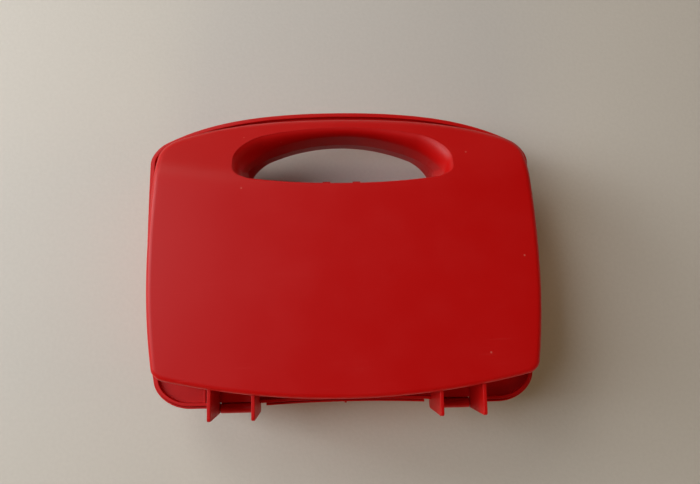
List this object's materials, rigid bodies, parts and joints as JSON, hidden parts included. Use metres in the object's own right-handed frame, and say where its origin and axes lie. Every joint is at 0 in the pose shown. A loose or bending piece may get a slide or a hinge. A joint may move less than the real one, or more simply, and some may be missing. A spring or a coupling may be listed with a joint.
{
  "type": "toy carry case",
  "caption": "Hinged carry case of moulded red plastic with bowed sides, a handle opening through its top and flat hinge fins at its foot.",
  "frame": {"origin": "under the middle of the case, on the plane that its back panel lies on", "axes": "+X along the width, +Y from the hinges to the handle, +Z from the back panel to the front panel"},
  "size_m": [0.2452, 0.189, 0.075],
  "materials": {
    "shell_plastic": "red moulded polypropylene, satin, with fine scuffs"
  },
  "bodies": {
    "base": {"back_shell": "shell_plastic"},
    "lid": {"front_shell": "shell_plastic", "hinge_pin_left": "shell_plastic", "hinge_pin_right": "shell_plastic"},
    "latch": {"latch": "shell_plastic"}
  },
  "joints": [
    {"name": "lid_hinge", "type": "hinge", "parent": "base", "child": "lid", "pos_m": [0, -0.0914, 0.0375], "axis": [1, 0, 0], "range_deg": [0, 180]},
    {"name": "latch_spring", "type": "hinge", "parent": "base", "child": "latch", "pos_m": [0, 0.03913, 0.0245], "axis": [1, 0, 0], "range_deg": [0, 7], "stiffness_Nm_per_rad": 0.2}
  ]
}
